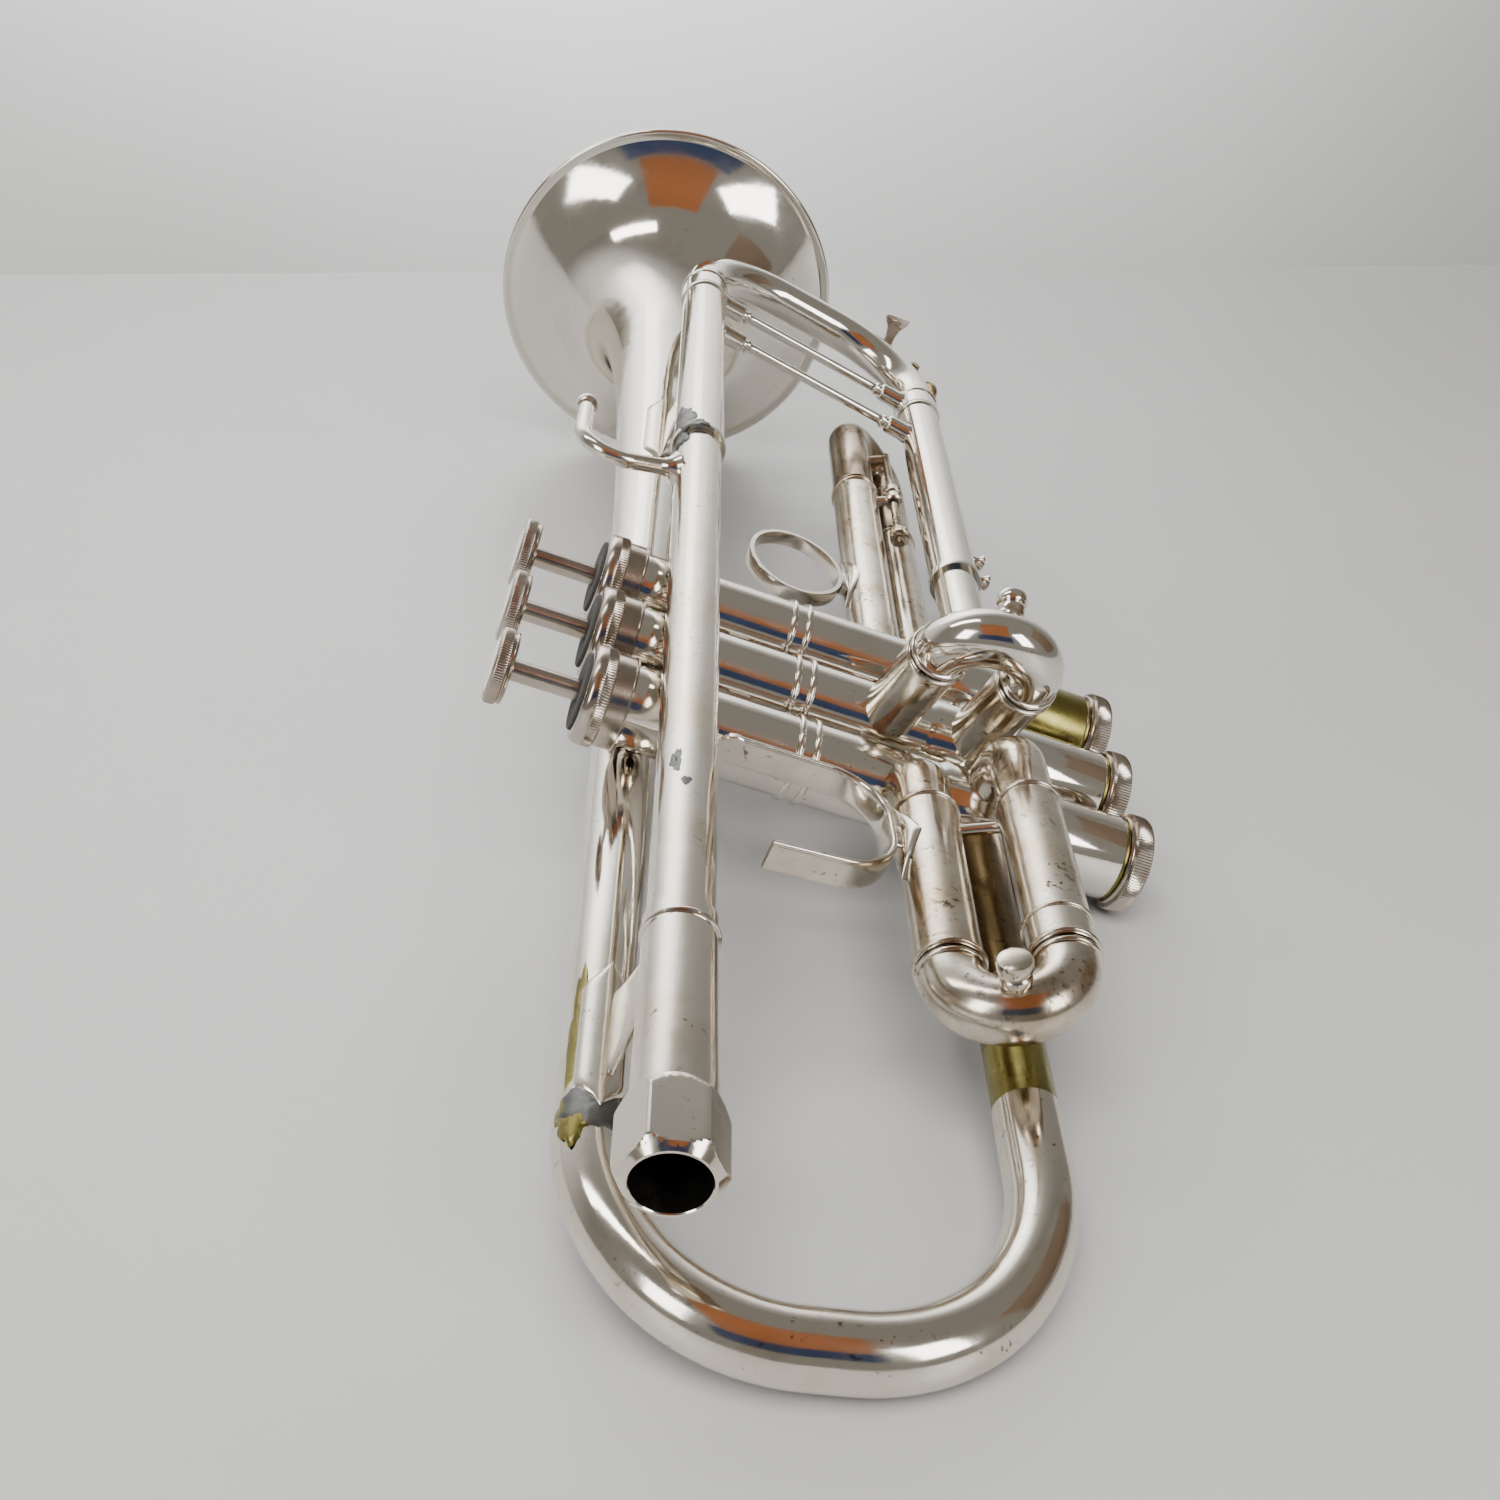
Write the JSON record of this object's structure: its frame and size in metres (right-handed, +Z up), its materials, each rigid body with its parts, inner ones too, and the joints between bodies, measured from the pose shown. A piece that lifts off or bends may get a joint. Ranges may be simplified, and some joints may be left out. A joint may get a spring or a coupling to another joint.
{
  "type": "cornet",
  "caption": "Long-model valved brass horn with a flared bell, wound tubing, sliding tuning crooks, sprung piston valves and a water key.",
  "frame": {"origin": "bottom centre of the horn's box, on the table it lies on", "axes": "+Y roughly towards the bell's mouth, +X from the finger buttons towards the bottom caps, +Z up from the table; the horn lies on its left side on the bell rim, the bell bow and the first bottom cap"},
  "size_m": [0.1802, 0.4716, 0.1199],
  "materials": {
    "silver_plate": "silver plated, polished, lightly tarnished",
    "worn_plate": "worn nickel and silver plate",
    "bare_brass": "bare brass, dull",
    "piston_nickel": "nickel plated",
    "spring_steel": "spring wire",
    "black_felt": "felt",
    "key_cork": "cork",
    "pearl_inlay": "mother of pearl"
  },
  "bodies": {
    "horn": {"mouthpiece_receiver": "silver_plate", "leadpipe": "silver_plate", "main_slide_sleeves": "silver_plate", "third_valve_entry_tube": "silver_plate", "slide_sleeve_brace": "silver_plate", "bell": "silver_plate", "bell_bow": "silver_plate", "first_valve_exit_tube": "bare_brass", "bell_receiver_brace": "silver_plate", "bell_sleeve_brace": "silver_plate", "first_slide_sleeves": "silver_plate", "first_slide_brace": "silver_plate", "valve_slide_elbows": "silver_plate", "third_slide_sleeves": "silver_plate", "second_slide_sleeves": "silver_plate", "valve_knuckles": "silver_plate", "valve_casing_1": "silver_plate", "valve_spring_1": "spring_steel", "valve_casing_2": "silver_plate", "valve_spring_2": "spring_steel", "valve_casing_3": "silver_plate", "valve_spring_3": "spring_steel", "top_caps": "worn_plate", "bottom_caps": "worn_plate", "cap_felts": "black_felt", "valve_guides": "bare_brass", "pinky_hook": "silver_plate", "finger_ring": "silver_plate", "thumb_hook": "silver_plate", "sleeve_studs": "silver_plate"},
    "valve_1": {"piston_1": "piston_nickel", "valve_stem_1": "worn_plate", "stem_felt_1": "black_felt", "finger_button_1": "worn_plate", "button_inlay_1": "pearl_inlay"},
    "valve_2": {"piston_2": "piston_nickel", "valve_stem_2": "worn_plate", "stem_felt_2": "black_felt", "finger_button_2": "worn_plate", "button_inlay_2": "pearl_inlay"},
    "valve_3": {"piston_3": "piston_nickel", "valve_stem_3": "worn_plate", "stem_felt_3": "black_felt", "finger_button_3": "worn_plate", "button_inlay_3": "pearl_inlay"},
    "main_tuning_slide": {"main_slide_bow": "silver_plate", "main_slide_legs": "silver_plate", "main_slide_brace": "silver_plate", "water_key_saddle": "silver_plate", "water_key_screw": "silver_plate", "water_key_spring": "spring_steel"},
    "water_key": {"water_key_lever": "silver_plate", "water_key_cork": "key_cork"},
    "first_valve_slide": {"first_slide_crook": "silver_plate"},
    "second_valve_slide": {"second_slide_crook": "silver_plate"},
    "third_valve_slide": {"third_slide_crook": "silver_plate", "third_slide_stop_rod": "silver_plate", "third_slide_stop_nuts": "silver_plate"}
  },
  "joints": [
    {"name": "valve_1_press", "type": "slide", "parent": "horn", "child": "valve_1", "axis": [0.9594, 0.0301, -0.2803], "range_m": [0, 0.0146], "stiffness_N_per_m": 150, "springref_m": -0.012, "deforming": ["valve_spring_1"]},
    {"name": "valve_2_press", "type": "slide", "parent": "horn", "child": "valve_2", "axis": [0.9594, 0.0301, -0.2803], "range_m": [0, 0.0146], "stiffness_N_per_m": 150, "springref_m": -0.012, "deforming": ["valve_spring_2"]},
    {"name": "valve_3_press", "type": "slide", "parent": "horn", "child": "valve_3", "axis": [0.9594, 0.0301, -0.2803], "range_m": [0, 0.0146], "stiffness_N_per_m": 150, "springref_m": -0.012, "deforming": ["valve_spring_3"]},
    {"name": "main_slide_pull", "type": "slide", "parent": "horn", "child": "main_tuning_slide", "axis": [0, 0.9943, 0.1067], "range_m": [0, 0.022]},
    {"name": "first_slide_pull", "type": "slide", "parent": "horn", "child": "first_valve_slide", "axis": [0, -0.9943, -0.1067], "range_m": [0, 0.025]},
    {"name": "second_slide_pull", "type": "slide", "parent": "horn", "child": "second_valve_slide", "axis": [0.249, -0.5572, 0.7922], "range_m": [0, 0.015]},
    {"name": "third_slide_pull", "type": "slide", "parent": "horn", "child": "third_valve_slide", "axis": [0, 0.9943, 0.1067], "range_m": [0, 0.02]},
    {"name": "water_key_open", "type": "hinge", "parent": "main_tuning_slide", "child": "water_key", "pos_m": [0.05714, 0.17937, 0.05065], "axis": [0.4261, -0.0965, 0.8995], "range_deg": [0, 16], "stiffness_Nm_per_rad": 0.05, "springref_deg": -28.65, "deforming": ["water_key_spring"]}
  ]
}
